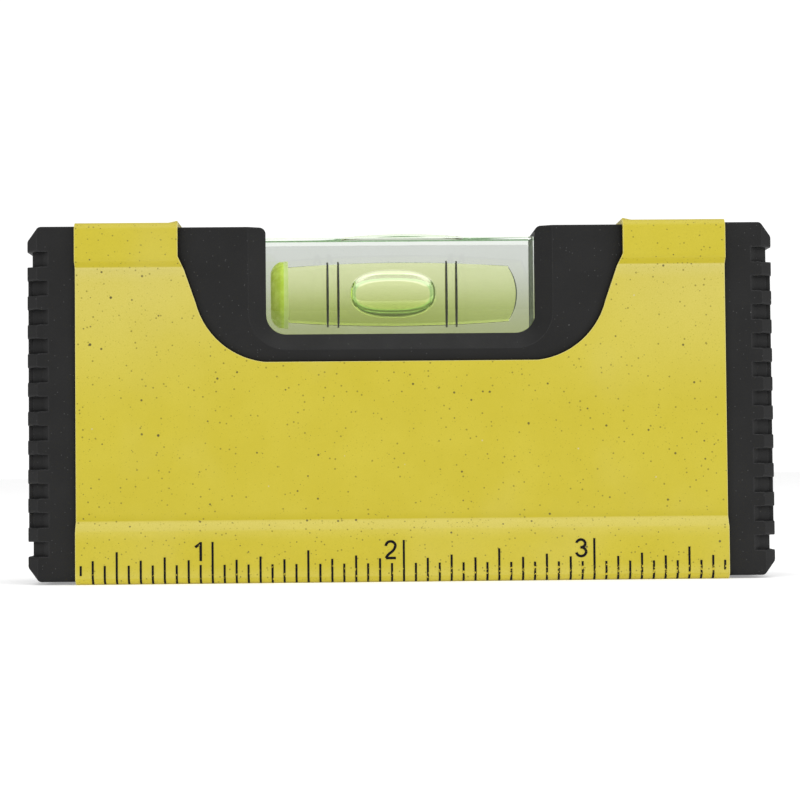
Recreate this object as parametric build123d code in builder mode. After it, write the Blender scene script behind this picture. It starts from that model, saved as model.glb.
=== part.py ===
"""Pocket spirit level: a folded steel jacket round a moulded core, with ribbed end caps and one level vial.

X runs along the level, Y runs from the face that carries the inch scale (-Y) to the back (+Y), and Z is up.
The origin is the middle of the base. All sizes are in millimetres.
"""

import math
import os

from build123d import *

os.makedirs("parts", exist_ok=True)

# Overall size
LENGTH = 100.2
HEIGHT = 48.3
WIDTH = 20.0

# Folded steel jacket
SHEET = 0.6
JACKET_LENGTH = 87.1
PANEL_RECESS = 0.9
RAIL_TOP = 7.0
LOWER_STEP_TOP = 8.35
UPPER_STEP_BOTTOM = 42.2
UPPER_RAIL_BOTTOM = 43.1
BEND = 1.2
STEP_BEND = 0.8
STRAP_INNER_X = 29.8
STRAP_FOOT_Z = 43.7
CUT_SHOULDER = (29.05, 42.0)
CUT_SWEEP_TOP = (27.5, 37.5)
CUT_SWEEP_MIDDLE = (24.25, 32.15)
SILL_HALF = 18.3
SILL_HEIGHT = 29.5
BASE_SLOT = 9.0
BURR_HEIGHT = 0.25
BURR_LENGTH = 1.3

# Moulded core, in two halves that meet on the Y = 0 plane
CORE_LENGTH = 77.0
CORE_BOTTOM = SHEET
CORE_TOP = HEIGHT - SHEET
FIT_GAP = 0.05
WINDOW_HALF = 18.15
WINDOW_FLOOR = 33.28
WINDOW_LIP = 0.8
WINDOW_CORNER = 2.7
BEVEL_WIDTH = 2.3
BEVEL_DROP = 2.1
BEVEL_DEPTH = 1.3
BAND_MARGIN = 0.4
PAD_MARGIN = 0.6
BAY_WALL = 1.8
# Middle x, middle z, length and height of each lightening bay
BAYS = (
    (0, 17.75, 32.0, 18.5),
    (-28.5, 17.75, 13.0, 18.5),
    (28.5, 17.75, 13.0, 18.5),
    (-28.5, 37.5, 13.0, 13.0),
    (28.5, 37.5, 13.0, 13.0),
)
PIN_RADIUS = 1.2
PIN_LENGTH = 3.6
PIN_X = 19.0
PIN_HEIGHTS = (12.0, 24.0)
SOCKET_EXTRA = 0.2

# End caps
RIB_PITCH = 3.88
NOTCH_HEIGHT = 1.98
NOTCH_COUNT = 11
NOTCH_LENGTH = 2.9
NOTCH_MIDDLE = HEIGHT / 2
END_FILL_WIDTH = 13.8
END_FILL_DEPTH = 2.0
NOTCH_FLOOR = 0.6
NOTCH_SLOPE = 0.8
NOTCH_DEPTH = 1.5
TOOTH_RADIUS = 0.3
RIM_TOLERANCE = 0.01
EDGE_BEVEL = 1.37
EDGE_BEVEL_DEPTH = 0.9
CAP_BOTTOM = 0.4
CAP_TOP = 47.9
CAP_LIP = 0.05
CORNER_X = 1.6
CORNER_Z = 1.9
CORNER_RADIUS = 0.7
PEG_RADIUS = 1.6
PEG_LENGTH = 3.2
PEG_HEIGHTS = (14.0, 36.0)
# Middle height and height of each hollow behind the end face
CAP_HOLLOWS = ((7.3, 8.0), (25.0, 16.0), (41.7, 6.0))
CAP_HOLLOW_DEPTH = 7.5

# Level vial
BLOCK_LEFT = -18.8
BLOCK_RIGHT = 18.1
BLOCK_DEPTH = 14.0
BLOCK_BOTTOM = 31.4
BLOCK_TOP = 46.35
BLOCK_CHAMFER = 0.2
LENS_CHORD = 18.2
LENS_RISE = 0.5
LENS_X = 0.4
LENS_DEPTH = 13.4
VIAL_Z = 39.0
VIAL_LEFT = -15.1
VIAL_RIGHT = 14.65
VIAL_TIP = 15.85
BARREL_MIDDLE_RADIUS = 4.26
BARREL_END_RADIUS = 3.72
PLUG_BORE_RADIUS = 4.45
PLUG_OUTER = -17.4
PLUG_FACE = -15.7
PLUG_RADIUS = 4.35
PLUG_TIP_RADIUS = 2.9
PLUG_SHOULDER_X = 0.55
PLUG_SHOULDER_DROP = 0.42
PLUG_RIM = 0.5
SEAL_GAP = 0.02
RING_X = (-9.77, -8.33, 6.27, 7.61)
RING_NAMES = ("ring_left_outer", "ring_left_inner", "ring_right_inner", "ring_right_outer")
RING_WIDTH = 0.26
RING_DEPTH = 0.25
RING_GAP = 0.01
BUBBLE_X = -0.96
BUBBLE_Y = -0.9
BUBBLE_Z = 39.04
BUBBLE_HALF_LENGTH = 5.87
BUBBLE_RADIUS = 3.1
LIQUID_GAP = 0.03

# Magnetic strip in the base
MAGNET_LENGTH = 72.0
MAGNET_WIDTH = 8.8
MAGNET_THICKNESS = 2.4
MAGNET_CHAMFER = 0.2

# Printed scales, on the lower rails
INK = 0.04
INCH = 25.4
FIRST_INCH_X = -25.35
FIRST_SIXTEENTH = 5
LAST_SIXTEENTH = 59
INCH_TICK_TOPS = ((16, 5.6), (8, 4.36), (4, 3.6), (2, 3.2), (1, 2.55))
TICK_WIDTH = 0.28
TICK_FOOT = 0.1
END_TICK_FOOT = 1.25
METRIC_LENGTH = 84
METRIC_TICK_TOPS = ((10, 5.6), (5, 3.8), (1, 2.6))
METRIC_TICK_WIDTH = 0.2
NUMERAL_SHIFT = 1.75
DIGIT_HEIGHT = 2.55
DIGIT_STROKE = 0.34

rail_y = WIDTH / 2
panel_y = rail_y - PANEL_RECESS
core_y = panel_y - SHEET
rail_inner_y = rail_y - SHEET
jacket_end = JACKET_LENGTH / 2
core_end = CORE_LENGTH / 2
level_end = LENGTH / 2
block_middle = (BLOCK_LEFT + BLOCK_RIGHT) / 2
vial_middle = (VIAL_LEFT + VIAL_RIGHT) / 2


# ---------------------------------------------------------------- steel jacket

half_outline = [
    (0, 0),
    (rail_y, 0),
    (rail_y, RAIL_TOP),
    (panel_y, LOWER_STEP_TOP),
    (panel_y, UPPER_STEP_BOTTOM),
    (rail_y, UPPER_RAIL_BOTTOM),
    (rail_y, HEIGHT),
    (0, HEIGHT),
]
half_bends = [BEND, STEP_BEND, STEP_BEND, STEP_BEND, STEP_BEND / 2, BEND]

with BuildSketch(Plane.YZ.offset(-jacket_end)) as jacket_section:
    with BuildLine():
        far_side = FilletPolyline(half_outline, radius=half_bends)
        mirror(far_side, about=Plane.YZ)
    make_face()
    offset(amount=-SHEET, mode=Mode.SUBTRACT)

# The window cut: straight between the straps, then slanted, then swept round to a flat sill.
above = 2 * HEIGHT
with BuildSketch(Plane.XZ) as window_cut:
    with BuildLine():
        strap_edge = Polyline(
            (0, above),
            (STRAP_INNER_X, above),
            (STRAP_INNER_X, STRAP_FOOT_Z),
            CUT_SHOULDER,
            CUT_SWEEP_TOP,
        )
        sweep_down = ThreePointArc(CUT_SWEEP_TOP, CUT_SWEEP_MIDDLE, (SILL_HALF, SILL_HEIGHT))
        sill = Line((SILL_HALF, SILL_HEIGHT), (0, SILL_HEIGHT))
        for half_edge in (strap_edge, sweep_down, sill):
            mirror(half_edge, about=Plane.YZ)
    make_face()

with BuildPart() as jacket:
    extrude(jacket_section.sketch, amount=JACKET_LENGTH)
    extrude(window_cut.sketch, amount=WIDTH, both=True, mode=Mode.SUBTRACT)
    Box(LENGTH, BASE_SLOT, 4 * SHEET, mode=Mode.SUBTRACT)
    # A low burr stands along each strap's inner cut edge.
    with BuildSketch(Plane.XZ) as burr:
        for side in (-1, 1):
            with BuildLine():
                Polyline(
                    (side * (STRAP_INNER_X + BURR_LENGTH), HEIGHT - SHEET / 2),
                    (side * (STRAP_INNER_X + BURR_LENGTH), HEIGHT),
                    (side * (STRAP_INNER_X + BURR_HEIGHT / 2), HEIGHT + BURR_HEIGHT),
                    (side * STRAP_INNER_X, HEIGHT + BURR_HEIGHT / 2),
                    (side * STRAP_INNER_X, HEIGHT - SHEET / 2),
                    close=True,
                )
            make_face()
    extrude(amount=rail_y - BEND, both=True)
jacket.part.label = "steel_jacket"
export_step(jacket.part, "parts/steel_jacket.step")


# ---------------------------------------------------------------- moulded core

window_rim = WINDOW_HALF + 2 * WINDOW_LIP
with BuildSketch(Plane.XZ) as window_notch:
    with BuildLine():
        FilletPolyline(
            [
                (-window_rim, HEIGHT),
                (-window_rim, CORE_TOP),
                (-WINDOW_HALF, CORE_TOP),
                (-WINDOW_HALF, WINDOW_FLOOR),
                (WINDOW_HALF, WINDOW_FLOOR),
                (WINDOW_HALF, CORE_TOP),
                (window_rim, CORE_TOP),
                (window_rim, HEIGHT),
            ],
            radius=[0, 0, WINDOW_LIP, WINDOW_CORNER, WINDOW_CORNER, WINDOW_LIP, 0, 0],
            close=True,
        )
    make_face()


def bevel_outlines(side):
    """The bevel's wide outline on the core's outer face and its narrow one at the window."""
    outlines = []
    for spread, drop, corner, depth in (
        (BEVEL_WIDTH, BEVEL_DROP, WINDOW_CORNER + BEVEL_WIDTH, 0.0),
        (0.0, 0.0, WINDOW_CORNER, BEVEL_DEPTH),
    ):
        plane = Plane((0, side * (core_y - depth), 0), x_dir=(1, 0, 0), z_dir=(0, -1, 0))
        with BuildSketch(plane) as outline:
            with BuildLine():
                FilletPolyline(
                    [
                        (-WINDOW_HALF - spread, HEIGHT),
                        (-WINDOW_HALF - spread, WINDOW_FLOOR - drop),
                        (WINDOW_HALF + spread, WINDOW_FLOOR - drop),
                        (WINDOW_HALF + spread, HEIGHT),
                    ],
                    radius=[0, corner, corner, 0],
                    close=True,
                )
            make_face()
        outlines.append(outline.sketch)
    return outlines


# Bands and pads that fill the jacket's rails from inside
rail_fill = rail_inner_y - core_y - FIT_GAP
band_foot = CORE_BOTTOM + BEND
band_height = RAIL_TOP - BAND_MARGIN - band_foot
band_z = band_foot + band_height / 2
pad_height = CORE_TOP - BEND - UPPER_RAIL_BOTTOM - BAND_MARGIN
pad_z = CORE_TOP - BEND - pad_height / 2
fill_y = core_y + rail_fill / 2


def core_half(side):
    """One half of the core: side is -1 for the front and 1 for the back."""
    with BuildPart() as half:
        with Locations((0, side * core_y / 2, (CORE_BOTTOM + CORE_TOP) / 2)):
            Box(CORE_LENGTH, core_y, CORE_TOP - CORE_BOTTOM)
        with Locations((0, side * fill_y, band_z)):
            Box(CORE_LENGTH, rail_fill, band_height)
        pad_start = STRAP_INNER_X + PAD_MARGIN
        pad_middle = (core_end + pad_start) / 2
        with Locations((-pad_middle, side * fill_y, pad_z), (pad_middle, side * fill_y, pad_z)):
            Box(core_end - pad_start, rail_fill, pad_height)
        extrude(window_notch.sketch, amount=WIDTH, both=True, mode=Mode.SUBTRACT)
        # Bevel round the window on the outer face
        loft(bevel_outlines(side), ruled=True, mode=Mode.SUBTRACT)
        # Pocket for the vial block, open at the top
        pocket_length = BLOCK_RIGHT - BLOCK_LEFT + 2 * FIT_GAP
        pocket_width = BLOCK_DEPTH + 2 * FIT_GAP
        pocket_height = HEIGHT - BLOCK_BOTTOM
        with Locations((block_middle, 0, BLOCK_BOTTOM - FIT_GAP + pocket_height / 2)):
            Box(pocket_length, pocket_width, pocket_height, mode=Mode.SUBTRACT)
        # Lightening bays, open on the parting plane
        for bay_x, bay_z, bay_length, bay_height in BAYS:
            with Locations((bay_x, 0, bay_z)):
                Box(bay_length, 2 * (core_y - BAY_WALL), bay_height, mode=Mode.SUBTRACT)
        # Groove for the magnetic strip
        play = 2 * FIT_GAP
        Box(MAGNET_LENGTH + play, MAGNET_WIDTH + play, 2 * MAGNET_THICKNESS + play, mode=Mode.SUBTRACT)
        # Sockets for the end caps' pegs
        peg_places = [(x, 0, z) for x in (-core_end, core_end) for z in PEG_HEIGHTS]
        with Locations(*peg_places):
            Cylinder(
                PEG_RADIUS + FIT_GAP,
                2 * (PEG_LENGTH + SOCKET_EXTRA),
                rotation=(0, 90, 0),
                mode=Mode.SUBTRACT,
            )
        # Locating pins on the front half, their sockets in the back half
        pin_places = [(x, 0, z) for x in (-PIN_X, PIN_X) for z in PIN_HEIGHTS]
        with Locations(*pin_places):
            if side < 0:
                Cylinder(PIN_RADIUS, 2 * PIN_LENGTH, rotation=(90, 0, 0))
            else:
                Cylinder(
                    PIN_RADIUS + FIT_GAP,
                    2 * (PIN_LENGTH + SOCKET_EXTRA),
                    rotation=(90, 0, 0),
                    mode=Mode.SUBTRACT,
                )
    return half.part


core_front = core_half(-1)
core_front.label = "core_front"
export_step(core_front, "parts/core_front.step")
core_back = core_half(1)
core_back.label = "core_back"
export_step(core_back, "parts/core_back.step")


# ---------------------------------------------------------------- end caps

notch_heights = [NOTCH_MIDDLE + (i - (NOTCH_COUNT - 1) / 2) * RIB_PITCH for i in range(NOTCH_COUNT)]
notch_floor_end = level_end - NOTCH_FLOOR
notch_root = level_end - NOTCH_LENGTH

# Plan of the cap at a tooth, and at the floor of a notch
with BuildSketch(Plane.XY) as tooth_plan:
    with BuildLine():
        Polyline(
            (core_end, -core_y),
            (level_end - EDGE_BEVEL, -core_y),
            (level_end, -core_y + EDGE_BEVEL_DEPTH),
            (level_end, core_y - EDGE_BEVEL_DEPTH),
            (level_end - EDGE_BEVEL, core_y),
            (core_end, core_y),
            close=True,
        )
    make_face()

with BuildSketch(Plane.XY) as notch_plan:
    with BuildLine():
        Polyline(
            (core_end, -core_y),
            (notch_root, -core_y),
            (notch_root + NOTCH_SLOPE, -core_y + NOTCH_DEPTH / 2),
            (notch_floor_end, -core_y + NOTCH_DEPTH),
            (notch_floor_end, core_y - NOTCH_DEPTH),
            (notch_root + NOTCH_SLOPE, core_y - NOTCH_DEPTH / 2),
            (notch_root, core_y),
            (core_end, core_y),
            close=True,
        )
    make_face()

# Front view of the cap, with its two clipped corners
with BuildSketch(Plane.XZ) as cap_outline:
    with BuildLine():
        FilletPolyline(
            [
                (core_end, CORE_BOTTOM),
                (jacket_end + CAP_LIP, CORE_BOTTOM),
                (jacket_end + CAP_LIP, CAP_BOTTOM),
                (level_end - CORNER_X, CAP_BOTTOM),
                (level_end, CAP_BOTTOM + CORNER_Z),
                (level_end, CAP_TOP - CORNER_Z),
                (level_end - CORNER_X, CAP_TOP),
                (jacket_end + CAP_LIP, CAP_TOP),
                (jacket_end + CAP_LIP, CORE_TOP),
                (core_end, CORE_TOP),
            ],
            radius=[0, 0, 0, CORNER_RADIUS, CORNER_RADIUS, CORNER_RADIUS, CORNER_RADIUS, 0, 0, 0],
            close=True,
        )
    make_face()

with BuildPart() as right_cap:
    extrude(tooth_plan.sketch, amount=HEIGHT)
    for notch_z in notch_heights:
        with BuildSketch(Plane.XY.offset(notch_z - NOTCH_HEIGHT / 2)) as notch:
            add(tooth_plan.sketch)
            add(notch_plan.sketch, mode=Mode.SUBTRACT)
        extrude(amount=NOTCH_HEIGHT, mode=Mode.SUBTRACT)
    # Rounded rims on every tooth
    rim_zs = [z + s * NOTCH_HEIGHT / 2 for z in notch_heights for s in (-1, 1)]
    tooth_rims = right_cap.edges().filter_by(
        lambda e: min(abs(e.center().Z - z) for z in rim_zs) < RIM_TOLERANCE
        and e.length < NOTCH_LENGTH
        and e.center().X > notch_root + NOTCH_SLOPE
        and abs(e.center().Y) > core_y - EDGE_BEVEL_DEPTH
    )
    fillet(tooth_rims, TOOTH_RADIUS)
    extrude(cap_outline.sketch, amount=WIDTH, both=True, mode=Mode.INTERSECT)
    # The end face is filled flush between the teeth, except in the top and bottom notches.
    fill_height = notch_heights[-2] - notch_heights[1] + NOTCH_HEIGHT
    with Locations((level_end - END_FILL_DEPTH / 2, 0, NOTCH_MIDDLE)):
        Box(END_FILL_DEPTH, END_FILL_WIDTH, fill_height)
    # Steps on the spigot that fill the jacket's rails
    step_length = jacket_end - core_end - BAND_MARGIN
    step_x = core_end + step_length / 2
    with Locations((step_x, -fill_y, band_z), (step_x, fill_y, band_z)):
        Box(step_length, rail_fill, band_height)
    with Locations((step_x, -fill_y, pad_z), (step_x, fill_y, pad_z)):
        Box(step_length, rail_fill, pad_height)
    # Hollows behind the end face, and the pegs between them
    for hollow_z, hollow_height in CAP_HOLLOWS:
        with Locations((core_end, 0, hollow_z)):
            Box(2 * CAP_HOLLOW_DEPTH, 2 * (core_y - BAY_WALL), hollow_height, mode=Mode.SUBTRACT)
    with Locations(*[(core_end, 0, z) for z in PEG_HEIGHTS]):
        Cylinder(PEG_RADIUS, 2 * PEG_LENGTH, rotation=(0, 90, 0))
right_cap.part.label = "end_cap_right"
export_step(right_cap.part, "parts/end_cap_right.step")

with BuildPart() as left_cap:
    add(right_cap.part)
    mirror(about=Plane.YZ, mode=Mode.REPLACE)
left_cap.part.label = "end_cap_left"
export_step(left_cap.part, "parts/end_cap_left.step")


# ---------------------------------------------------------------- level vial

barrel_rise = BARREL_MIDDLE_RADIUS - BARREL_END_RADIUS
vial_plane = Plane((0, 0, VIAL_Z), x_dir=(1, 0, 0), z_dir=(0, -1, 0))
vial_axis = Axis((0, 0, VIAL_Z), (1, 0, 0))


def barrel_radius(x):
    """Radius of the barrel's wall at x, from the circular arc along it."""
    half_chord = (VIAL_RIGHT - VIAL_LEFT) / 2
    arc_radius = (half_chord**2 + barrel_rise**2) / (2 * barrel_rise)
    drop = arc_radius - math.sqrt(arc_radius**2 - (x - vial_middle) ** 2)
    return BARREL_MIDDLE_RADIUS - drop


def barrel_sketch(gap):
    """Half section of the barrel and its domed right end, drawn in by a gap."""
    dome_rise = VIAL_TIP - VIAL_RIGHT
    dome_radius = ((BARREL_END_RADIUS - gap) ** 2 + dome_rise**2) / (2 * dome_rise)
    with BuildSketch(vial_plane) as section:
        with BuildLine():
            Line((VIAL_LEFT, 0), (VIAL_LEFT, BARREL_END_RADIUS - gap))
            ThreePointArc(
                (VIAL_LEFT, BARREL_END_RADIUS - gap),
                (vial_middle, BARREL_MIDDLE_RADIUS - gap),
                (VIAL_RIGHT - gap, BARREL_END_RADIUS - gap),
            )
            RadiusArc(
                (VIAL_RIGHT - gap, BARREL_END_RADIUS - gap),
                (VIAL_TIP - gap, 0),
                dome_radius,
            )
            Line((VIAL_TIP - gap, 0), (VIAL_LEFT, 0))
        make_face()
    return section.sketch


def ring_sketch(ring_x, inner_gap, outer_gap, side_gap):
    """Half section of a reading ring, or of its groove in the barrel's wall."""
    inner = barrel_radius(ring_x) + inner_gap
    outer = barrel_radius(ring_x) + RING_DEPTH - outer_gap
    with BuildSketch(vial_plane) as section:
        with Locations((ring_x, (inner + outer) / 2)):
            Rectangle(RING_WIDTH - 2 * side_gap, outer - inner)
    return section.sketch


# The reading lens is a low vault across the block, curved along the vial.
with BuildPart() as lens:
    with BuildSketch(Plane.XZ.offset(-LENS_DEPTH / 2)):
        with BuildLine():
            vault_ends = [(LENS_X + side * LENS_CHORD / 2, BLOCK_TOP) for side in (-1, 1)]
            ThreePointArc(vault_ends[0], (LENS_X, BLOCK_TOP + LENS_RISE), vault_ends[1])
            Polyline(
                vault_ends[1],
                (LENS_X + LENS_CHORD / 2, BLOCK_TOP - LENS_RISE),
                (LENS_X - LENS_CHORD / 2, BLOCK_TOP - LENS_RISE),
                vault_ends[0],
            )
        make_face()
    extrude(amount=LENS_DEPTH)

with BuildPart() as block:
    with Locations((block_middle, 0, (BLOCK_BOTTOM + BLOCK_TOP) / 2)):
        Box(BLOCK_RIGHT - BLOCK_LEFT, BLOCK_DEPTH, BLOCK_TOP - BLOCK_BOTTOM)
    chamfer(block.edges().filter_by(Axis.X), BLOCK_CHAMFER)
    revolve(barrel_sketch(0.0), axis=vial_axis, mode=Mode.SUBTRACT)
    with BuildSketch(vial_plane) as plug_bore:
        with Locations(((VIAL_LEFT + BLOCK_LEFT) / 2, PLUG_BORE_RADIUS / 2)):
            Rectangle(VIAL_LEFT - BLOCK_LEFT, PLUG_BORE_RADIUS)
    revolve(plug_bore.sketch, axis=vial_axis, mode=Mode.SUBTRACT)
    for ring_x in RING_X:
        revolve(ring_sketch(ring_x, -RING_DEPTH / 2, 0.0, 0.0), axis=vial_axis, mode=Mode.SUBTRACT)
    add(lens.part)
block.part.label = "vial_block"
export_step(block.part, "parts/vial_block.step")

with BuildPart() as plug:
    with BuildSketch(vial_plane) as plug_section:
        with BuildLine():
            Polyline((PLUG_FACE, 0), (PLUG_OUTER, 0), (PLUG_OUTER, PLUG_TIP_RADIUS))
            ThreePointArc(
                (PLUG_OUTER, PLUG_TIP_RADIUS),
                (PLUG_OUTER + PLUG_SHOULDER_X, PLUG_RADIUS - PLUG_SHOULDER_DROP),
                (PLUG_FACE - PLUG_RIM, PLUG_RADIUS),
            )
            Polyline((PLUG_FACE - PLUG_RIM, PLUG_RADIUS), (PLUG_FACE, PLUG_RADIUS), (PLUG_FACE, 0))
        make_face()
    revolve(axis=vial_axis)
plug.part.label = "vial_plug"
export_step(plug.part, "parts/vial_plug.step")

with BuildPart() as seal:
    with Locations(((PLUG_FACE + VIAL_LEFT) / 2, 0, VIAL_Z)):
        Cylinder(PLUG_BORE_RADIUS - SEAL_GAP, VIAL_LEFT - PLUG_FACE, rotation=(0, 90, 0))
seal.part.label = "plug_seal"
export_step(seal.part, "parts/plug_seal.step")

for name, ring_x in zip(RING_NAMES, RING_X):
    with BuildPart() as ring:
        revolve(ring_sketch(ring_x, 0.0, RING_GAP, RING_GAP), axis=vial_axis)
    ring.part.label = name
    export_step(ring.part, f"parts/{name}.step")


def bubble_solid(swell):
    """The air bubble, a long ellipsoid, grown all round by swell."""
    centre = (BUBBLE_X, BUBBLE_Y, BUBBLE_Z)
    with BuildPart() as air:
        with BuildSketch(Plane(centre, x_dir=(1, 0, 0), z_dir=(0, -1, 0))) as half_oval:
            with BuildLine():
                reach = BUBBLE_HALF_LENGTH + swell
                EllipticalCenterArc((0, 0), reach, BUBBLE_RADIUS + swell, 0, arc_size=180)
                Line((-reach, 0), (reach, 0))
            make_face()
        revolve(axis=Axis(centre, (1, 0, 0)))
    return air.part


bubble = bubble_solid(0.0)
bubble.label = "bubble"
export_step(bubble, "parts/bubble.step")

bubble_hollow = bubble_solid(LIQUID_GAP)
with BuildPart() as liquid:
    revolve(barrel_sketch(LIQUID_GAP), axis=vial_axis)
    add(bubble_hollow, mode=Mode.SUBTRACT)
liquid.part.label = "vial_liquid"
export_step(liquid.part, "parts/vial_liquid.step")


# ---------------------------------------------------------------- magnetic strip

with BuildPart() as magnet:
    with Locations((0, 0, MAGNET_THICKNESS / 2)):
        Box(MAGNET_LENGTH, MAGNET_WIDTH, MAGNET_THICKNESS)
    chamfer(magnet.edges().filter_by(Axis.X), MAGNET_CHAMFER)
magnet.part.label = "magnetic_strip"
export_step(magnet.part, "parts/magnetic_strip.step")


# ---------------------------------------------------------------- printed scales

# Each numeral's strokes, as (start, middle of the arc or None, end), one unit tall about x = 0
NUMERAL_STROKES = {
    1: [((-0.25, 0.76), None, (0.08, 1)), ((0.08, 1.07), None, (0.08, -0.07))],
    2: [
        ((-0.29, 0.73), (0, 1), (0.29, 0.73)),
        ((0.29, 0.73), (0.2, 0.52), (0.02, 0.34)),
        ((0.02, 0.34), (-0.17, 0.18), (-0.29, 0)),
        ((-0.29, 0), None, (0.31, 0)),
    ],
    3: [
        ((-0.28, 0.8), (-0.02, 1), (0.25, 0.76)),
        ((0.25, 0.76), (0.16, 0.59), (-0.05, 0.53)),
        ((-0.05, 0.53), (0.2, 0.45), (0.3, 0.26)),
        ((0.3, 0.26), (-0.01, 0), (-0.3, 0.22)),
    ],
    4: [
        ((0.14, -0.07), None, (0.14, 1.07)),
        ((0.14, 1), None, (-0.28, 0.28)),
        ((-0.28, 0.28), None, (0.3, 0.28)),
    ],
    5: [
        ((0.24, 1), None, (-0.18, 1)),
        ((-0.18, 1), None, (-0.24, 0.5)),
        ((-0.24, 0.5), (0.06, 0.62), (0.28, 0.32)),
        ((0.28, 0.32), (0, 0), (-0.28, 0.2)),
    ],
    6: [
        ((0.24, 0.84), (0.02, 1), (-0.2, 0.78)),
        ((-0.2, 0.78), (-0.27, 0.54), (-0.27, 0.28)),
        ((-0.27, 0.28), (0, 0), (0.27, 0.28)),
        ((0.27, 0.28), (0, 0.58), (-0.27, 0.28)),
    ],
    7: [((-0.28, 1), None, (0.28, 1)), ((0.28, 1), (0.03, 0.55), (-0.12, 0))],
    8: [
        ((-0.23, 0.77), (0, 1), (0.23, 0.77)),
        ((0.23, 0.77), (0, 0.54), (-0.23, 0.77)),
        ((-0.28, 0.27), (0, 0.54), (0.28, 0.27)),
        ((0.28, 0.27), (0, 0), (-0.28, 0.27)),
    ],
}


def digit_face(digit):
    """A plain numeral of DIGIT_HEIGHT, its foot on the x axis and its middle on the y axis."""
    tall = DIGIT_HEIGHT - DIGIT_STROKE

    def place(point):
        return (point[0] * tall, point[1] * tall + DIGIT_STROKE / 2)

    with BuildSketch() as face:
        for start, middle, end in NUMERAL_STROKES[digit]:
            with BuildLine():
                if middle:
                    ThreePointArc(place(start), place(middle), place(end))
                else:
                    Line(place(start), place(end))
            trace(line_width=DIGIT_STROKE)
    return face.sketch


def print_scale(side, ticks, numerals, tick_width):
    """Ink on one lower rail: side is -1 for the front and 1 for the back.

    ticks are (x, low, high) and numerals are (digit, x, foot height).
    """
    face_y = side * rail_y
    ink_y = side * (rail_y + INK)
    bend_y = side * (rail_y - BEND)
    with BuildPart() as ink:
        for x, low, high in ticks:
            dip = math.asin(max(0.0, BEND - low) / BEND)
            half_dip = dip / 2
            bend_start = max(low, BEND)
            with BuildSketch(Plane.YZ.offset(x - tick_width / 2)):
                with BuildLine():
                    Polyline((face_y, bend_start), (face_y, high), (ink_y, high), (ink_y, bend_start))
                    if low < BEND:
                        rays = [
                            (bend_y + side * r * math.cos(a), BEND - r * math.sin(a))
                            for r in (BEND, BEND + INK)
                            for a in (half_dip, dip)
                        ]
                        ThreePointArc((ink_y, BEND), rays[2], rays[3])
                        Line(rays[3], rays[1])
                        ThreePointArc(rays[1], rays[0], (face_y, BEND))
                    else:
                        Line((ink_y, low), (face_y, low))
                make_face()
        extrude(amount=tick_width)
        with BuildSketch(Plane((0, face_y, 0), x_dir=(-side, 0, 0), z_dir=(0, side, 0))):
            for digit, x, foot in numerals:
                with Locations((-side * x, foot)):
                    add(digit_face(digit))
        extrude(amount=INK)
    return ink.part


inch_ticks = []
for sixteenth in range(FIRST_SIXTEENTH, LAST_SIXTEENTH + 1):
    tick_x = FIRST_INCH_X + (sixteenth / 16 - 1) * INCH
    tick_top = next(top for step, top in INCH_TICK_TOPS if sixteenth % step == 0)
    tick_foot = END_TICK_FOOT if sixteenth in (FIRST_SIXTEENTH, LAST_SIXTEENTH) else TICK_FOOT
    inch_ticks.append((tick_x, tick_foot, tick_top))
inch_numerals = [
    (n, FIRST_INCH_X + (n - 1) * INCH - NUMERAL_SHIFT, INCH_TICK_TOPS[0][1] - DIGIT_HEIGHT)
    for n in (1, 2, 3)
]
inch_scale = print_scale(-1, inch_ticks, inch_numerals, TICK_WIDTH)
inch_scale.label = "inch_scale"
export_step(inch_scale, "parts/inch_scale.step")

metric_ticks = []
for millimetre in range(METRIC_LENGTH + 1):
    tick_top = next(top for step, top in METRIC_TICK_TOPS if millimetre % step == 0)
    metric_ticks.append((METRIC_LENGTH / 2 - millimetre, TICK_FOOT, tick_top))
metric_numerals = [
    (n, METRIC_LENGTH / 2 - 10 * n + NUMERAL_SHIFT, METRIC_TICK_TOPS[0][1] - DIGIT_HEIGHT)
    for n in range(1, 9)
]
metric_scale = print_scale(1, metric_ticks, metric_numerals, METRIC_TICK_WIDTH)
metric_scale.label = "metric_scale"
export_step(metric_scale, "parts/metric_scale.step")
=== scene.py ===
"""Looks of the pocket spirit level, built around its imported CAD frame.

Meshes are made in millimetres and scaled to metres when they become pieces. Materials work in metres.
"""

import math

import bmesh
import bpy
from mathutils import Matrix, Vector


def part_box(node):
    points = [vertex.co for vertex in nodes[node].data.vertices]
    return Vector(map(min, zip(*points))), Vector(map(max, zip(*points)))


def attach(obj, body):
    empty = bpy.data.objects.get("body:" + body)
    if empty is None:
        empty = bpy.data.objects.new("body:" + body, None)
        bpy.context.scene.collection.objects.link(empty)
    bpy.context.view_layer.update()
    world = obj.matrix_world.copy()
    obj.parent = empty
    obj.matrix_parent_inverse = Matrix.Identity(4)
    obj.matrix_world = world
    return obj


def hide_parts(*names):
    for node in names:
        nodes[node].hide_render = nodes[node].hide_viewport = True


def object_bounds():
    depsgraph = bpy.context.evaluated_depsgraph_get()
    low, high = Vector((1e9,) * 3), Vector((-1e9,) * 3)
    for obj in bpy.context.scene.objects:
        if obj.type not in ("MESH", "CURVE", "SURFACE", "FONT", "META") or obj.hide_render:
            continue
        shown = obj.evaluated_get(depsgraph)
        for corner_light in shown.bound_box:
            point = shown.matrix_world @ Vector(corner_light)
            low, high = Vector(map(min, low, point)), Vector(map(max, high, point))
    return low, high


MM = 0.001

# Refractive indices. The bubble's is for light that comes from the liquid.
ACRYLIC_IOR = 1.49
LIQUID_IOR = 1.455
BUBBLE_IOR = 1 / 1.3
UNBENT_IOR = 1.0

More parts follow.
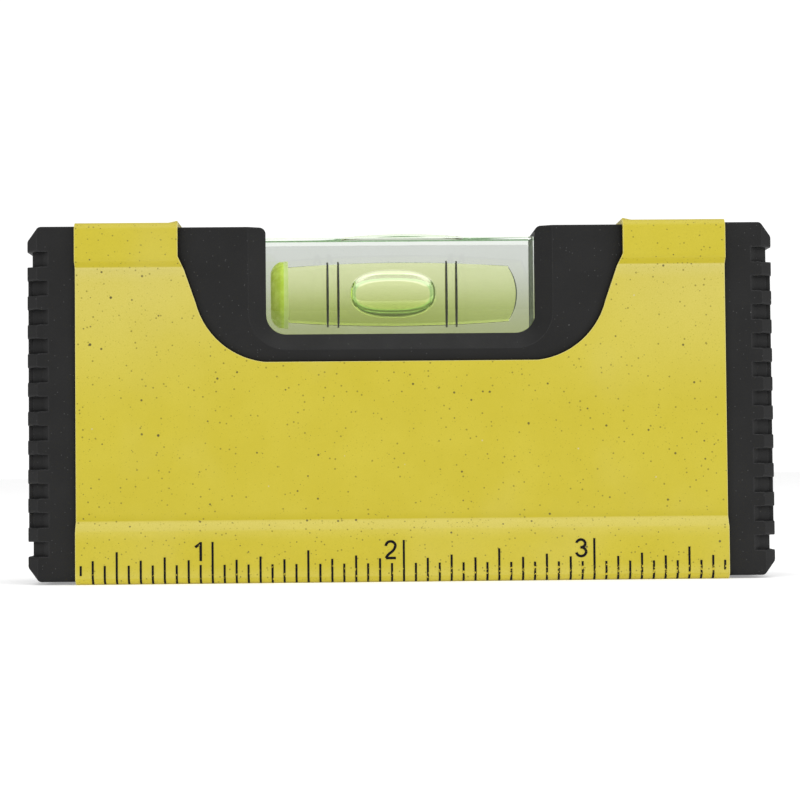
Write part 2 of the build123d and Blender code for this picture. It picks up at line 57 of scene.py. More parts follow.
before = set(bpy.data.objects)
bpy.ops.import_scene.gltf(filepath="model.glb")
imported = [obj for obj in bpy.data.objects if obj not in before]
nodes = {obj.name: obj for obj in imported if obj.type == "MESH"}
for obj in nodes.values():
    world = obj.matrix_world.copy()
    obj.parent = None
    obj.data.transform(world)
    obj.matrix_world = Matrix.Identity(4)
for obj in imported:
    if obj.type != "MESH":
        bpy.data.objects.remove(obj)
cad_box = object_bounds()
scene = bpy.context.scene


# ---------------------------------------------------------------- vial sizes, in mm

block_low, block_high = (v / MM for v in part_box("vial_block"))
liquid_low, liquid_high = (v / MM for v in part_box("vial_liquid"))
seal_low, seal_high = (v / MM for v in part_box("plug_seal"))
bubble_low, bubble_high = (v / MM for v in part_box("bubble"))
bubble_middle = (bubble_low + bubble_high) / 2
bubble_half = (bubble_high - bubble_low) / 2

CAD_LIQUID_GAP = 0.03
FILL_GAP = 0.02
SEAL_GAP = 0.02
DOME_LENGTH = 1.2
VIAL_Z = (seal_low.z + seal_high.z) / 2
BARREL_LEFT = liquid_low.x
BARREL_TIP = liquid_high.x + CAD_LIQUID_GAP
BARREL_RIGHT = BARREL_TIP - DOME_LENGTH
BARREL_RADIUS = (liquid_high.z - liquid_low.z) / 2 + CAD_LIQUID_GAP
# How much the barrel narrows from its middle to where the dome begins
BARREL_DROP = 0.54
BARREL_MIDDLE = (BARREL_LEFT + BARREL_RIGHT) / 2
ARC_RADIUS = ((BARREL_RIGHT - BARREL_MIDDLE) ** 2 + BARREL_DROP**2) / (2 * BARREL_DROP)
BARREL_STEPS = 40
DOME_STEPS = 16
TURN_SIDES = 128

LENS_RISE = 0.5
LENS_CHORD = 18.2
LENS_X = 0.4
LENS_INSET = 0.3
LENS_ROOT = 0.4
LENS_EASE = 0.12
LENS_EASE_POWER = 12
LENS_STEPS = 72
LENS_STEPS_ACROSS = 24
BLOCK_TOP = block_high.z - LENS_RISE
BLOCK_RIGHT_DRAFT = 0.55
BLOCK_LEFT_DRAFT = 0.1
BLOCK_EDGE_ROUND = 0.18
BLOCK_EDGE_REACH = 0.19
BLOCK_EDGE_STEPS = 3

BUBBLE_FULLNESS = 2.35
BUBBLE_SHOULDER = 5
BUBBLE_TALLER = 1.04
BUBBLE_BACK = 0.72
BUBBLE_BLEND = 0.14
BUBBLE_CLEARANCE = 0.42
BUBBLE_SIDES = 96
BUBBLE_STEPS = 72
SEARCH_REACH = 8.0
SEARCH_STEPS = 30


# ---------------------------------------------------------------- node helpers


class Shader:
    """One material and a few short ways to build its node tree."""

    def __init__(self, name):
        self.material = bpy.data.materials.new(name)
        self.material.use_nodes = True
        self.tree = self.material.node_tree
        self.surface = self.tree.nodes["Principled BSDF"]
        self.place = self.node("TexCoord").outputs["Object"]

    def node(self, kind, settings=None, **inputs):
        """Adds a node. Keywords fill its sockets: i0, i1 by number, others by name with _ for a space."""
        made = self.tree.nodes.new("ShaderNode" + kind)
        for key, value in (settings or {}).items():
            setattr(made, key, value)
        for key, value in inputs.items():
            number = key[1:]
            name = int(number) if key[0] == "i" and number.isdigit() else key.replace("_", " ")
            self.fill(made.inputs[name], value)
        return made

    def fill(self, socket, value):
        if isinstance(value, bpy.types.NodeSocket):
            self.tree.links.new(value, socket)
        else:
            socket.default_value = value

    def set(self, **inputs):
        for key, value in inputs.items():
            self.fill(self.surface.inputs[key.replace("_", " ")], value)

    def maths(self, operation, a, b=0.0, clamp=False):
        return self.node("Math", {"operation": operation, "use_clamp": clamp}, i0=a, i1=b).outputs[0]

    def ramp(self, value, low, high, to_low=0.0, to_high=1.0):
        """value from low to high becomes to_low to to_high, smoothly, and stays there outside."""
        settings = {"interpolation_type": "SMOOTHSTEP"}
        return self.node(
            "MapRange", settings, Value=value, From_Min=low, From_Max=high, To_Min=to_low, To_Max=to_high
        ).outputs["Result"]

    def noise(self, size, detail=3.0, roughness=0.5, place=None):
        """Noise whose lumps are about size metres apart, from 0 to 1."""
        return self.node(
            "TexNoise",
            Vector=place or self.place,
            Scale=1 / size,
            Detail=detail,
            Roughness=roughness,
        ).outputs["Fac"]

    def mix(self, share, a, b):
        """Colours a and b mixed, with share of b."""
        made = self.node("Mix", {"data_type": "RGBA"}, i0=share)
        for socket, colour in ((made.inputs[6], a), (made.inputs[7], b)):
            self.fill(socket, (*colour, 1.0) if isinstance(colour, tuple) else colour)
        return made.outputs[2]

    def split(self):
        """The x, y and z of the place, in metres."""
        return tuple(self.node("SeparateXYZ", Vector=self.place).outputs)

    def specks(self, cell, reach, share, place=None):
        """Small round specks, 1 in their middles. cell is their spacing, share how many cells have one."""
        cells = self.node("TexVoronoi", Vector=place or self.place, Scale=1 / cell)
        draw = self.node("SeparateColor", Color=cells.outputs["Color"]).outputs
        here = self.maths("LESS_THAN", draw[0], share)
        size = self.maths("MULTIPLY", self.ramp(draw[1], 0.0, 1.0, 0.45, 1.0), reach / cell)
        depth = self.maths("SUBTRACT", 1.0, self.maths("DIVIDE", cells.outputs["Distance"], size), True)
        return self.maths("MULTIPLY", self.ramp(depth, 0.0, 0.45), here)

    def speckled(self, base, cell, reach, share, colour, strength, place=None):
        """base with specks of another colour. cell and reach are in mm."""
        mask = self.specks(cell * MM, reach * MM, share, place)
        return self.mix(self.maths("MULTIPLY", mask, strength), base, colour)

    def softened(self, radius):
        """The normal as it would be with edges rounded to radius metres."""
        return self.node("Bevel", {"samples": 4}, Radius=radius).outputs[0]

    def edges(self, soft_normal):
        """1 along sharp edges, where a bevel's normal leaves the face's own, and 0 on open faces."""
        own = self.node("NewGeometry").outputs["Normal"]
        likeness = self.node("VectorMath", {"operation": "DOT_PRODUCT"}, i0=own, i1=soft_normal)
        return self.ramp(likeness.outputs["Value"], 0.99, 0.85)

    def bump(self, height, distance, normal=None):
        made = self.node("Bump", Height=height, Distance=distance)
        if normal is not None:
            self.fill(made.inputs["Normal"], normal)
        return made.outputs["Normal"]


# ---------------------------------------------------------------- colours, linear

PAINT_DEEP = (0.568, 0.474, 0.021)
PAINT_PALE = (0.596, 0.502, 0.031)
PAINT_CORNER_LIGHT = (0.70, 0.62, 0.20)
PAINT_GRAIN = (0.50, 0.42, 0.020)
PAINT_SMUDGE = (0.70, 0.63, 0.24)
PAINT_EDGE_HIGHLIGHT = (0.82, 0.77, 0.40)
# Painted light and shade in soft bands along the jacket's creases: height in mm of the soft edge and of the
# crisp edge, share, colour
PAINT_LIGHT_AND_SHADE_BANDS = (
    (9.7, 8.40, 0.60, (0.53, 0.44, 0.004)),
    (5.4, 8.35, 0.40, (0.74, 0.66, 0.20)),
    (2.6, 0.9, 0.30, (0.70, 0.62, 0.14)),
    (40.0, 42.25, 0.40, (0.74, 0.67, 0.24)),
    (43.8, 42.35, 0.60, (0.50, 0.42, 0.004)),
)
BAND_CRISPNESS = 0.15
# Spacing and reach in mm, share of cells, colour, strength
PAINT_SPECKS = (
    (0.42, 0.13, 0.62, (0.36, 0.29, 0.008), 0.62),
    (0.7, 0.16, 0.60, (0.20, 0.16, 0.008), 0.72),
    (1.3, 0.20, 0.40, (0.07, 0.055, 0.01), 0.85),
    (3.0, 0.24, 0.20, (0.05, 0.04, 0.015), 0.9),
    (2.6, 0.20, 0.16, (0.60, 0.56, 0.40), 0.6),
)
PLASTIC_DEEP = (0.0052, 0.0052, 0.0053)
PLASTIC_PALE = (0.0088, 0.0088, 0.0090)
PLASTIC_EDGE_HIGHLIGHT = (0.050, 0.050, 0.052)
PLASTIC_CREVICE_SHADE = (0.001, 0.001, 0.001)
PLASTIC_DUST = (
    (1.5, 0.12, 0.14, (0.42, 0.42, 0.41), 0.50),
    (0.42, 0.085, 0.22, (0.4, 0.4, 0.4), 0.13),
)
INK = (0.004, 0.004, 0.008)
INK_WORN = (0.56, 0.46, 0.05)
ACRYLIC_LOW_SHADE_AND_REFLECTION = (0.46, 0.52, 0.22)
ACRYLIC_HIGH = (0.90, 0.945, 0.89)
ACRYLIC_TOP_GREEN_LIGHT = (0.60, 0.74, 0.46)
ACRYLIC_SMOKE = (0.68, 0.72, 0.62)
ACRYLIC_DIRT = (1.5, 0.08, 0.10, (0.12, 0.16, 0.12), 0.7)
BARREL_WALL_TINT = (0.97, 1.0, 0.95, 1.0)
BORE_COLOURS = ((0.96, 1.0, 0.90), (1.0, 1.0, 0.97))
LIQUID_LOW = (0.60, 0.67, 0.27)
LIQUID_HIGH = (1.0, 1.0, 0.72)
LIQUID_RIGHT = (0.97, 1.0, 0.74)
LIQUID_CLOUD = (0.60, 0.74, 0.30)
LIQUID_GLOW_COLOUR = (0.78, 0.80, 0.12, 1.0)
AIR_DIM = (0.95, 0.98, 0.92)
AIR_CLEAR = (0.985, 1.0, 0.97)
AIR_LOW_REFLECTION = (0.66, 0.74, 0.52)
RIM_GREEN_REFLECTION = (0.25, 0.80, 0.38)
CORE_GLOW_COLOUR = (0.84, 0.78, 0.52)
RIM_GLOW_COLOUR = (0.10, 0.62, 0.22)
TOP_GLINT = (0.84, 0.78, 0.92)
PLUG_COLOURS = ((0.50, 0.63, 0.055), (0.62, 0.74, 0.13))
SEAL_COLOURS = ((0.62, 0.71, 0.30), (0.66, 0.75, 0.34))
SAWN_COLOURS = ((0.13, 0.155, 0.125), (0.32, 0.38, 0.32))
GREEN_GLOW_EDGE_COLOURS = ((0.45, 0.72, 0.47), (0.58, 0.82, 0.60))
RING_COLOURS = ((0.006, 0.008, 0.006), (0.10, 0.15, 0.06))
MAGNET_COLOURS = ((0.020, 0.018, 0.017), (0.045, 0.040, 0.036))
FLOOR_COLOURS = ((0.93, 0.93, 0.93), (0.95, 0.95, 0.95))
WHITE = (1.0, 1.0, 1.0, 1.0)

# Emission strengths, set so that the colours come out as in the photo
# Every glow here but the floor's is painted light: the parts glow though none is a lamp.
RESIN_GLOW = 0.42
SAWN_GLOW = 0.14
GREEN_EDGE_GLOW = 0.25
LIQUID_GLOW = 0.064
BUBBLE_GLOW = 0.065
GLINT_GLOW = 0.48
FLOOR_GLOW = 0.3


# ---------------------------------------------------------------- materials


def paint_material():
    """Satin yellow paint: painted light and shade in soft bands at the creases, painted light on the upper
    corners, specks and painted highlights on the cut edges.
    """
    m = Shader("jacket_paint_look")
    x, _, z = m.split()
    base = m.mix(m.ramp(m.noise(9 * MM, 4.0, 0.6), 0.3, 0.7), PAINT_DEEP, PAINT_PALE)
    # Painted light and shade: each band lightens or darkens the paint next to a crease.
    for faint, crisp, share, colour in PAINT_LIGHT_AND_SHADE_BANDS:
        beyond = crisp + math.copysign(BAND_CRISPNESS, crisp - faint)
        fade = m.ramp(z, faint * MM, crisp * MM)
        light_shade_band = m.maths("MULTIPLY", fade, m.ramp(z, beyond * MM, crisp * MM))
        base = m.mix(m.maths("MULTIPLY", light_shade_band, share), base, colour)
    # Painted light on the upper corners, below the top step only.
    outward = m.ramp(m.maths("ABSOLUTE", x), 8 * MM, 40 * MM)
    corner_light = m.maths("MULTIPLY", outward, m.ramp(z, 20 * MM, 42 * MM))
    below_step = m.ramp(z, 42.4 * MM, 42.2 * MM, 0.0, 0.45)
    base = m.mix(m.maths("MULTIPLY", corner_light, below_step), base, PAINT_CORNER_LIGHT)
    grain = m.noise(0.16 * MM, 2.0, 0.6)
    base = m.mix(m.ramp(grain, 0.35, 0.75, 0.0, 0.34), base, PAINT_GRAIN)
    for specks in PAINT_SPECKS:
        base = m.speckled(base, *specks)
    smudge = m.ramp(m.noise(16 * MM, 2.0, 0.5), 0.52, 0.75, 0.0, 0.10)
    base = m.mix(smudge, base, PAINT_SMUDGE)
    # Painted highlights along the sharp edges.
    edge_highlight = m.edges(m.softened(0.16 * MM))
    base = m.mix(m.maths("MULTIPLY", edge_highlight, 0.8), base, PAINT_EDGE_HIGHLIGHT)
    rough = m.ramp(m.noise(6 * MM, 5.0, 0.65), 0.3, 0.7, 0.36, 0.47)
    peel = m.bump(m.noise(0.9 * MM, 2.0, 0.5), 0.012 * MM)
    m.set(Base_Color=base, Roughness=rough, IOR=1.45)
    m.set(Normal=m.bump(grain, 0.004 * MM, peel))
    return m.material


def plastic_material(name, offset, gloss):
    """Black plastic with a fine moulded grain, dust, painted highlights on its edges and painted shade in its
    crevices.
    """
    m = Shader(name)
    shift = (offset, 0.0, offset)
    place = m.node("VectorMath", {"operation": "ADD"}, i0=m.place, i1=shift).outputs[0]
    base = m.mix(m.ramp(m.noise(5 * MM, 4.0, 0.6, place), 0.3, 0.7), PLASTIC_DEEP, PLASTIC_PALE)
    for dust in PLASTIC_DUST:
        base = m.speckled(base, *dust, place)
    soft = m.softened(0.26 * MM)
    # Painted highlights along the edges.
    base = m.mix(m.maths("MULTIPLY", m.edges(soft), 0.85), base, PLASTIC_EDGE_HIGHLIGHT)
    # Painted shade: darker where the surroundings close in, as in crevices.
    openness = m.node("AmbientOcclusion", {"samples": 4}, Distance=1.1 * MM).outputs["AO"]
    open_air = m.ramp(openness, 0.35, 0.95)
    base = m.mix(open_air, PLASTIC_CREVICE_SHADE, base)
    rough = m.ramp(m.noise(2.5 * MM, 4.0, 0.6, place), 0.3, 0.7, gloss, gloss + 0.1)
    grain = m.noise(0.16 * MM, 2.0, 0.6, place)
    m.set(Base_Color=base, Roughness=rough, IOR=1.37)
    # The painted shade also dims the reflections in crevices.
    m.set(Specular_IOR_Level=m.ramp(open_air, 0.0, 1.0, 0.18, 0.5))
    m.set(Normal=m.bump(grain, 0.03 * MM, soft))
    return m.material


def ink_material():
    """Printed black ink, worn through to the paint in places near the base bend, mostly to the right."""
    m = Shader("print_ink_look")
    x, _, z = m.split()
    near_bend = m.maths("SUBTRACT", m.ramp(z, 0.2 * MM, 1.0 * MM), m.ramp(z, 1.6 * MM, 2.6 * MM))
    near_bend = m.maths("MAXIMUM", near_bend, 0.0)
    rightward = m.ramp(x, -40 * MM, 38 * MM, 0.15, 0.55)
    rubbed = m.maths("MULTIPLY", near_bend, m.maths("MULTIPLY", rightward, 0.30))
    wear = m.noise(0.5 * MM, 4.0, 0.65)
    worn = m.ramp(m.maths("ADD", wear, rubbed), 0.67, 0.70)
    m.set(Base_Color=m.mix(worn, INK, INK_WORN))
    m.set(Roughness=m.ramp(wear, 0.3, 0.7, 0.35, 0.5), IOR=1.2)
    return m.material


def clear_shader(name, tint, ior):
    """The shader of a clear surface that tints and bends what is seen through it."""
    m = Shader(name)
    m.set(Base_Color=tint(m), Roughness=0.0, IOR=ior, Transmission_Weight=1.0)
    return m


def acrylic_tint(m):
    """A faint tint, darker and greener towards the bottom as painted shade and a painted reflection of the
    liquid's green, and with painted green light at the top.
    """
    z = m.split()[2]
    tint = m.mix(m.ramp(z, 33 * MM, 45 * MM), ACRYLIC_LOW_SHADE_AND_REFLECTION, ACRYLIC_HIGH)
    # Painted green light along the top.
    tint = m.mix(m.ramp(z, 46.1 * MM, 46.5 * MM, 0.0, 0.8), tint, ACRYLIC_TOP_GREEN_LIGHT)
    tint = m.mix(m.ramp(m.noise(7 * MM), 0.3, 0.7, 0.0, 0.12), tint, ACRYLIC_SMOKE)
    return m.speckled(tint, *ACRYLIC_DIRT)


def acrylic_material():
    m = clear_shader("clear_acrylic_look", acrylic_tint, ACRYLIC_IOR)
    m.set(Normal=m.bump(m.noise(2.2 * MM, 2.0), 0.0015 * MM))
    return m.material


def barrel_wall_material():
    """The face between acrylic and liquid: it bends light only as much as the two differ."""
    m = clear_shader("barrel_wall_look", lambda _: BARREL_WALL_TINT, ACRYLIC_IOR / LIQUID_IOR)
    m.set(Normal=m.bump(m.noise(1.3 * MM), 0.0012 * MM))
    return m.material


def bore_film_tint(m):
    return m.mix(m.ramp(m.noise(0.8 * MM), 0.3, 0.7), *BORE_COLOURS)


def bore_wall_material():
    """The face between the acrylic and the glued plug, which hardly shows."""
    return clear_shader("bore_wall_look", bore_film_tint, UNBENT_IOR).material


def frosted_material(name, deep, pale, glow):
    """Rough, unpolished acrylic with a faint painted glow, for the block's sawn end and upper back edge."""
    m = Shader(name)
    frost = m.ramp(m.noise(0.25 * MM, 4.0, 0.65), 0.3, 0.7)
    colour = m.mix(frost, deep, pale)
    m.set(Base_Color=colour, Roughness=0.7, Emission_Color=colour, Emission_Strength=glow)
    m.set(Normal=m.bump(frost, 0.05 * MM))
    return m.material


def liquid_tint(m):
    """Yellow-green, paler towards the top, partly as painted light from above, and paler towards the right
    end.
    """
    x, _, z = m.split()
    tint = m.mix(m.ramp(z, 34.2 * MM, 41.4 * MM), LIQUID_LOW, LIQUID_HIGH)
    tint = m.mix(m.ramp(x, 0.0, 14 * MM, 0.0, 0.35), tint, LIQUID_RIGHT)
    cloud = m.ramp(m.noise(1.2 * MM, 4.0, 0.6), 0.35, 0.7, 0.0, 0.10)
    return m.mix(cloud, tint, LIQUID_CLOUD)


def liquid_material():
    """Dyed liquid with a faint glow. It bends no light itself, because the barrel's wall does that."""
    m = clear_shader("vial_fluid_look", liquid_tint, UNBENT_IOR)
    m.set(Emission_Color=LIQUID_GLOW_COLOUR, Emission_Strength=LIQUID_GLOW)
    return m.material


def bubble_place(m):
    """How far out a point lies on the bubble's oval, 1 at the rim, and how high, from -1 to 1."""
    x, _, z = m.split()
    across = m.maths("DIVIDE", m.maths("SUBTRACT", x, bubble_middle.x * MM), bubble_half.x * MM)
    height = m.maths("DIVIDE", m.maths("SUBTRACT", z, bubble_middle.z * MM), bubble_half.z * MM)
    parts = [m.maths("POWER", m.maths("ABSOLUTE", v), BUBBLE_FULLNESS) for v in (across, height)]
    return m.maths("ADD", *parts), height


def bubble_tint(m):
    oval, height = bubble_place(m)
    tint = m.mix(m.ramp(m.noise(0.8 * MM), 0.3, 0.7), AIR_DIM, AIR_CLEAR)
    # Painted reflection of the liquid's green, low in the bubble and in its rim.
    tint = m.mix(m.ramp(height, -0.30, -0.60, 0.0, 0.9), tint, AIR_LOW_REFLECTION)
    return m.mix(m.ramp(oval, 0.80, 0.92, 0.0, 0.7), tint, RIM_GREEN_REFLECTION)


def bubble_material():
    """Clear air with a painted reflection of the liquid's green in a thin rim, a painted white glint along
    its top and a painted glow.
    """
    m = clear_shader("bubble_air_look", bubble_tint, BUBBLE_IOR)
    oval, height = bubble_place(m)
    # Painted white glint along the top; elsewhere a painted glow, greener in the rim.
    top = m.maths("MULTIPLY", m.ramp(oval, 0.60, 0.75), m.ramp(height, 0.35, 0.60))
    glow = m.mix(m.ramp(oval, 0.80, 0.92), CORE_GLOW_COLOUR, RIM_GLOW_COLOUR)
    m.set(Emission_Color=m.mix(top, glow, TOP_GLINT))
    m.set(Emission_Strength=m.ramp(top, 0.0, 1.0, BUBBLE_GLOW, GLINT_GLOW))
    return m.material


def resin_material(name, deep, pale):
    """Yellow-green resin that scatters light inside and glows."""
    m = Shader(name)
    cloud = m.ramp(m.noise(0.9 * MM, 4.0, 0.6), 0.3, 0.7)
    tint = m.mix(cloud, deep, pale)
    m.set(Base_Color=tint, Roughness=m.ramp(cloud, 0.0, 1.0, 0.18, 0.3), IOR=1.2)
    m.set(Subsurface_Weight=0.6, Subsurface_Scale=1.5 * MM, Subsurface_Radius=(1.0, 1.0, 0.4))
    m.set(Emission_Color=tint, Emission_Strength=RESIN_GLOW)
    return m.material


def ring_material():
    m = Shader("ring_ink_look")
    m.set(Base_Color=m.mix(m.ramp(m.noise(0.22 * MM), 0.62, 0.70), *RING_COLOURS), Roughness=0.35)
    return m.material


def magnet_material():
    m = Shader("magnet_rubber_look")
    lines = m.noise(0.3 * MM, 3.0, 0.6)
    m.set(Base_Color=m.mix(m.ramp(lines, 0.3, 0.7), *MAGNET_COLOURS), Roughness=0.7)
    m.set(Normal=m.bump(lines, 0.02 * MM))
    return m.material


def floor_material():
    m = Shader("studio_floor")
    m.set(Base_Color=m.mix(m.noise(0.4, 2.0), *FLOOR_COLOURS), Roughness=0.9)
    m.set(Emission_Color=WHITE, Emission_Strength=FLOOR_GLOW)
    return m.material


# ---------------------------------------------------------------- mesh helpers


def piece(name, mesh, body, replaced, sharp=30):
    """Puts a mesh made in millimetres on stage as a piece that rides a CAD body."""
    mesh.transform(Matrix.Scale(MM, 4))
    mesh.polygons.foreach_set("use_smooth", [True] * len(mesh.polygons))
    mesh.set_sharp_from_angle(angle=math.radians(sharp))
    made = bpy.data.objects.new(name, mesh)
    scene.collection.objects.link(made)
    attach(made, body)
    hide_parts(replaced)


def coated(mesh, *materials):
    for material in materials:
        mesh.materials.append(material)
    return mesh


def finished(name, shape):
    """A mesh from a bmesh, which is freed."""
    mesh = bpy.data.meshes.new(name)
    shape.to_mesh(mesh)
    shape.free()
    return mesh


def skinned(name, rings, capped=False):
    """A closed mesh over rings of points. A ring of one point is a tip, and caps close the end rings."""
    shape = bmesh.new()
    rows = [[shape.verts.new(point) for point in ring] for ring in rings]
    sides = max(len(row) for row in rows)
    for one, two in zip(rows, rows[1:]):
        for i in range(sides):
            j = (i + 1) % sides
            corners = [one[i % len(one)], one[j % len(one)], two[j % len(two)], two[i % len(two)]]
            shape.faces.new(list(dict.fromkeys(corners)))
    if capped:
        shape.faces.new(rows[0])
        shape.faces.new(rows[-1])
    bmesh.ops.recalc_face_normals(shape, faces=shape.faces[:])
    return finished(name, shape)


def lathe(name, profile):
    """A closed mesh from (x, radius) points turned about the vial's axis."""
    rings = []
    for x, radius in profile:
        count = TURN_SIDES if radius else 1
        angles = [2 * math.pi * i / TURN_SIDES for i in range(count)]
        rings.append([(x, radius * math.cos(a), VIAL_Z + radius * math.sin(a)) for a in angles])
    return skinned(name, rings)


def combined(base, cutters, operation):
    """base with each cutter taken away or added, by exact Booleans. The cutters' materials are kept."""
    holder = bpy.data.objects.new("holder", base)
    scene.collection.objects.link(holder)
    helpers = []
    for cutter in cutters:
        helper = bpy.data.objects.new("cutter", cutter)
        scene.collection.objects.link(helper)
        helpers.append(helper)
        step = holder.modifiers.new("step", "BOOLEAN")
        step.object = helper
        step.operation = operation
        step.solver = "EXACT"
        step.material_mode = "TRANSFER"
    bpy.context.view_layer.update()
    shown = holder.evaluated_get(bpy.context.evaluated_depsgraph_get())
    result = bpy.data.meshes.new_from_object(shown)
    for used in [holder, *helpers]:
        bpy.data.objects.remove(used)
    return result


# ---------------------------------------------------------------- vial block


def barrel_radius(x):
    return BARREL_RADIUS - (ARC_RADIUS - math.sqrt(ARC_RADIUS**2 - (x - BARREL_MIDDLE) ** 2))


def barrel_profile(gap):
    """The barrel's half section with its domed right end, drawn in by gap."""
    points = [(BARREL_LEFT, 0.0)]
    for i in range(BARREL_STEPS + 1):
        x = BARREL_LEFT + (BARREL_RIGHT - BARREL_LEFT) * i / BARREL_STEPS
        points.append((x, barrel_radius(x) - gap))
    edge = barrel_radius(BARREL_RIGHT) - gap
    rise = DOME_LENGTH - gap
    dome = (edge**2 + rise**2) / (2 * rise)
    for i in range(1, DOME_STEPS + 1):
        radius = edge * (1 - i / DOME_STEPS)
        points.append((BARREL_RIGHT + rise - dome + math.sqrt(dome**2 - radius**2), radius))
    return points


def bore_profile():
    """The plug's bore, from outside the block's left end to the barrel."""
    radius = (seal_high.z - seal_low.z) / 2 + SEAL_GAP
    outside = block_low.x - 1
    return [(outside, 0.0), (outside, radius), (BARREL_LEFT, radius), (BARREL_LEFT, 0.0)]


def block_hull():
    """The block's outside: a slightly tapered body with softened edges.

    Its materials are 0 for polished faces, 1 for the sawn right end and 2 for the upper back edge.
    """
    shape = bmesh.new()
    corners = [
        (block_low.x, block_low.y),
        (block_high.x, block_low.y),
        (block_high.x - BLOCK_RIGHT_DRAFT, block_high.y),
        (block_low.x + BLOCK_LEFT_DRAFT, block_high.y),
    ]
    floor = [shape.verts.new((x, y, block_low.z)) for x, y in corners]
    top = [shape.verts.new((x, y, BLOCK_TOP)) for x, y in corners]
    shape.faces.new(floor[::-1])
    shape.faces.new(top)
    for i in range(len(corners)):
        j = (i + 1) % len(corners)
        shape.faces.new((floor[i], floor[j], top[j], top[i]))
    bmesh.ops.recalc_face_normals(shape, faces=shape.faces[:])
    bmesh.ops.bevel(
        shape,
        geom=shape.edges[:],
        offset=BLOCK_EDGE_ROUND,
        segments=BLOCK_EDGE_STEPS,
        profile=0.5,
        affect="EDGES",
    )
    for face in shape.faces:
        place = face.calc_center_median()
        if face.normal.x > 0.9:
            face.material_index = 1
        elif place.y > block_high.y - BLOCK_EDGE_REACH and place.z > BLOCK_TOP - BLOCK_EDGE_REACH:
            face.material_index = 2
    return finished("block_hull", shape)


def lens_vault():
    """The low reading lens on the block's top, curved along the vial and eased down at its front and back."""
    radius = ((LENS_CHORD / 2) ** 2 + LENS_RISE**2) / (2 * LENS_RISE)
    across = (block_high.y - block_low.y) / 2 - LENS_INSET
    foot = BLOCK_TOP - LENS_ROOT
    rings = []
    for i in range(LENS_STEPS + 1):
        x = LENS_CHORD * (i / LENS_STEPS - 0.5)
        arc = math.sqrt(radius**2 - x**2) - radius + LENS_RISE
        ring = [(LENS_X + x, -across, foot)]
        for j in range(LENS_STEPS_ACROSS + 1):
            v = -math.cos(math.pi * j / LENS_STEPS_ACROSS)
            ease = LENS_EASE * (1 - math.sqrt(1 - abs(v) ** LENS_EASE_POWER))
            ring.append((LENS_X + x, v * across, BLOCK_TOP + arc - ease))
        ring.append((LENS_X + x, across, foot))
        rings.append(ring)
    return skinned("lens_vault", rings, capped=True)


acrylic = acrylic_material()
sawn_end = frosted_material("sawn_end_look", *SAWN_COLOURS, SAWN_GLOW)
# The upper back edge's green glow is painted light.
green_glow_edge = frosted_material("green_glow_edge_look", *GREEN_GLOW_EDGE_COLOURS, GREEN_EDGE_GLOW)
hull = coated(block_hull(), acrylic, sawn_end, green_glow_edge)
hull = combined(hull, [coated(lens_vault(), acrylic)], "UNION")
barrel_cut = coated(lathe("barrel_cut", barrel_profile(0.0)), barrel_wall_material())
bore_cut = coated(lathe("bore_cut", bore_profile()), bore_wall_material())
block_mesh = combined(hull, [barrel_cut, bore_cut], "DIFFERENCE")
piece("block_clear", block_mesh, "level", "vial_block")


# ---------------------------------------------------------------- liquid and bubble

liquid_mesh = coated(lathe("liquid_fill", barrel_profile(FILL_GAP)), liquid_material())
piece("liquid_fill", liquid_mesh, "level", "vial_liquid", 40)


def outside_bubble(x, y, z):
    """Above 0 outside the bubble, for a place measured from its middle.

    Three shapes meet with a soft blend: a full oval, the barrel's front wall and a flat back.
    """
    flat = abs(x / bubble_half.x) ** BUBBLE_FULLNESS
    flat += abs(z / (bubble_half.z * BUBBLE_TALLER)) ** BUBBLE_FULLNESS
    deep = abs(y / bubble_half.y) ** BUBBLE_SHOULDER
    oval = (flat ** (BUBBLE_SHOULDER / BUBBLE_FULLNESS) + deep) ** (1 / BUBBLE_SHOULDER)
    oval = (oval - 1) * bubble_half.z
    from_axis = math.hypot(y + bubble_middle.y, z + bubble_middle.z - VIAL_Z)
    tube = from_axis - (BARREL_RADIUS - BUBBLE_CLEARANCE - x**2 / (2 * ARC_RADIUS))
    back = y - bubble_half.y * BUBBLE_BACK
    total = sum(math.exp(v / BUBBLE_BLEND) for v in (oval, tube, back))
    return BUBBLE_BLEND * math.log(total)


def bubble_surface(direction):
    """Where a ray from the bubble's middle leaves the bubble, found by halving."""
    inside, outside = 0.0, SEARCH_REACH
    for _ in range(SEARCH_STEPS):
        middle = (inside + outside) / 2
        if outside_bubble(*[c * middle for c in direction]) > 0:
            outside = middle
        else:
            inside = middle
    return direction * inside + bubble_middle


def bubble_mesh():
    """A long air bubble, pressed flat along the barrel's front wall and rounded everywhere else."""
    rings = []
    for i in range(BUBBLE_STEPS + 1):
        turn = math.pi * i / BUBBLE_STEPS
        x = -math.cos(turn) * bubble_half.x
        spoke = math.sin(turn) * bubble_half.z
        ring = []
        for j in range(1 if i in (0, BUBBLE_STEPS) else BUBBLE_SIDES):
            angle = 2 * math.pi * j / BUBBLE_SIDES
            # Directions are stretched along the bubble, so that the mesh is even on its long shape.
            direction = Vector((x, spoke * math.cos(angle), spoke * math.sin(angle)))
            ring.append(bubble_surface(direction.normalized()))
        rings.append(ring)
    return skinned("bubble_shape", rings)


piece("bubble_shape", coated(bubble_mesh(), bubble_material()), "bubble", "bubble", 60)


# ---------------------------------------------------------------- finishes on the CAD parts

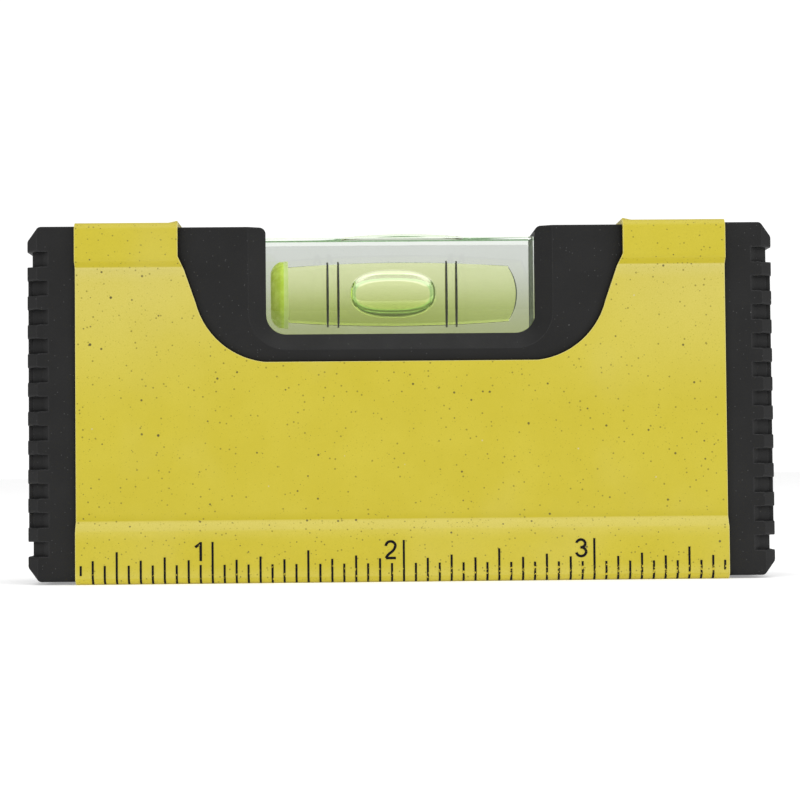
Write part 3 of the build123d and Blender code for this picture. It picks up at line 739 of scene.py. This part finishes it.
core_look = plastic_material("core_plastic_look", 0.0, 0.5)
cap_look = plastic_material("cap_plastic_look", 0.13, 0.48)
ink_look = ink_material()
ring_look = ring_material()
finishes = {
    "steel_jacket": paint_material(),
    "core_front": core_look,
    "core_back": core_look,
    "end_cap_left": cap_look,
    "end_cap_right": cap_look,
    "inch_scale": ink_look,
    "metric_scale": ink_look,
    "vial_plug": resin_material("plug_resin_look", *PLUG_COLOURS),
    "plug_seal": resin_material("seal_resin_look", *SEAL_COLOURS),
    "magnetic_strip": magnet_material(),
}
for node in nodes:
    if node.startswith("ring_"):
        finishes[node] = ring_look
for node, material in finishes.items():
    for slot in nodes[node].material_slots:
        slot.material = material


# ---------------------------------------------------------------- studio

FLOOR_RADIUS = 4.0
FLOOR_SIDES = 96
SKY_STRENGTH = 0.70
BACKDROP_STRENGTH = 1.1
LIGHT_AIM = (0, 0, 0.02)
CAMERA_LEFT = 6.0 * MM
CAMERA_DISTANCE = 279.0 * MM
CAMERA_HEIGHT = 15.2 * MM
CAMERA_TURN = (91.854, 0.526, -1.158)
SENSOR_WIDTH = 36
FOCAL_LENGTH = 94.248

bpy.ops.mesh.primitive_circle_add(
    vertices=FLOOR_SIDES, radius=FLOOR_RADIUS, fill_type="NGON", location=(0, 0, 0)
)
floor = bpy.context.object
floor.name = "studio_floor"
floor.data.materials.append(floor_material())


def studio_sky():
    """A soft white sky that lights the level, with a pure white backdrop where the camera sees it."""
    world = bpy.data.worlds.new("studio")
    world.use_nodes = True
    tree = world.node_tree
    sky = tree.nodes["Background"]
    backdrop = tree.nodes.new("ShaderNodeBackground")
    for background, strength in ((sky, SKY_STRENGTH), (backdrop, BACKDROP_STRENGTH)):
        background.inputs["Color"].default_value = WHITE
        background.inputs["Strength"].default_value = strength
    path = tree.nodes.new("ShaderNodeLightPath")
    join = tree.nodes.new("ShaderNodeMixShader")
    tree.links.new(path.outputs["Is Camera Ray"], join.inputs[0])
    tree.links.new(sky.outputs[0], join.inputs[1])
    tree.links.new(backdrop.outputs[0], join.inputs[2])
    tree.links.new(join.outputs[0], tree.nodes["World Output"].inputs[0])
    return world


def softbox(name, place, size, power):
    light = bpy.data.lights.new(name, "AREA")
    light.shape = "RECTANGLE"
    light.size, light.size_y = size
    light.energy = power
    lamp = bpy.data.objects.new(name, light)
    lamp.location = place
    lamp.rotation_euler = (Vector(LIGHT_AIM) - Vector(place)).to_track_quat("-Z", "Y").to_euler()
    scene.collection.objects.link(lamp)


def front_camera():
    """A long lens in front of the level, a little to the left and low, looking slightly up."""
    data = bpy.data.cameras.new("camera")
    data.sensor_width = SENSOR_WIDTH
    data.lens = FOCAL_LENGTH
    camera = bpy.data.objects.new("camera", data)
    front_y = cad_box[0][1]
    camera.location = (-CAMERA_LEFT, front_y - CAMERA_DISTANCE, CAMERA_HEIGHT)
    camera.rotation_euler = [math.radians(a) for a in CAMERA_TURN]
    scene.collection.objects.link(camera)
    return camera


scene.world = studio_sky()
softbox("key_light", (0.05, -0.25, 0.75), (0.9, 0.7), 2.6)
softbox("right_light", (0.7, -0.5, 0.35), (0.5, 0.5), 0.7)
scene.camera = front_camera()
scene.view_settings.view_transform = "Standard"
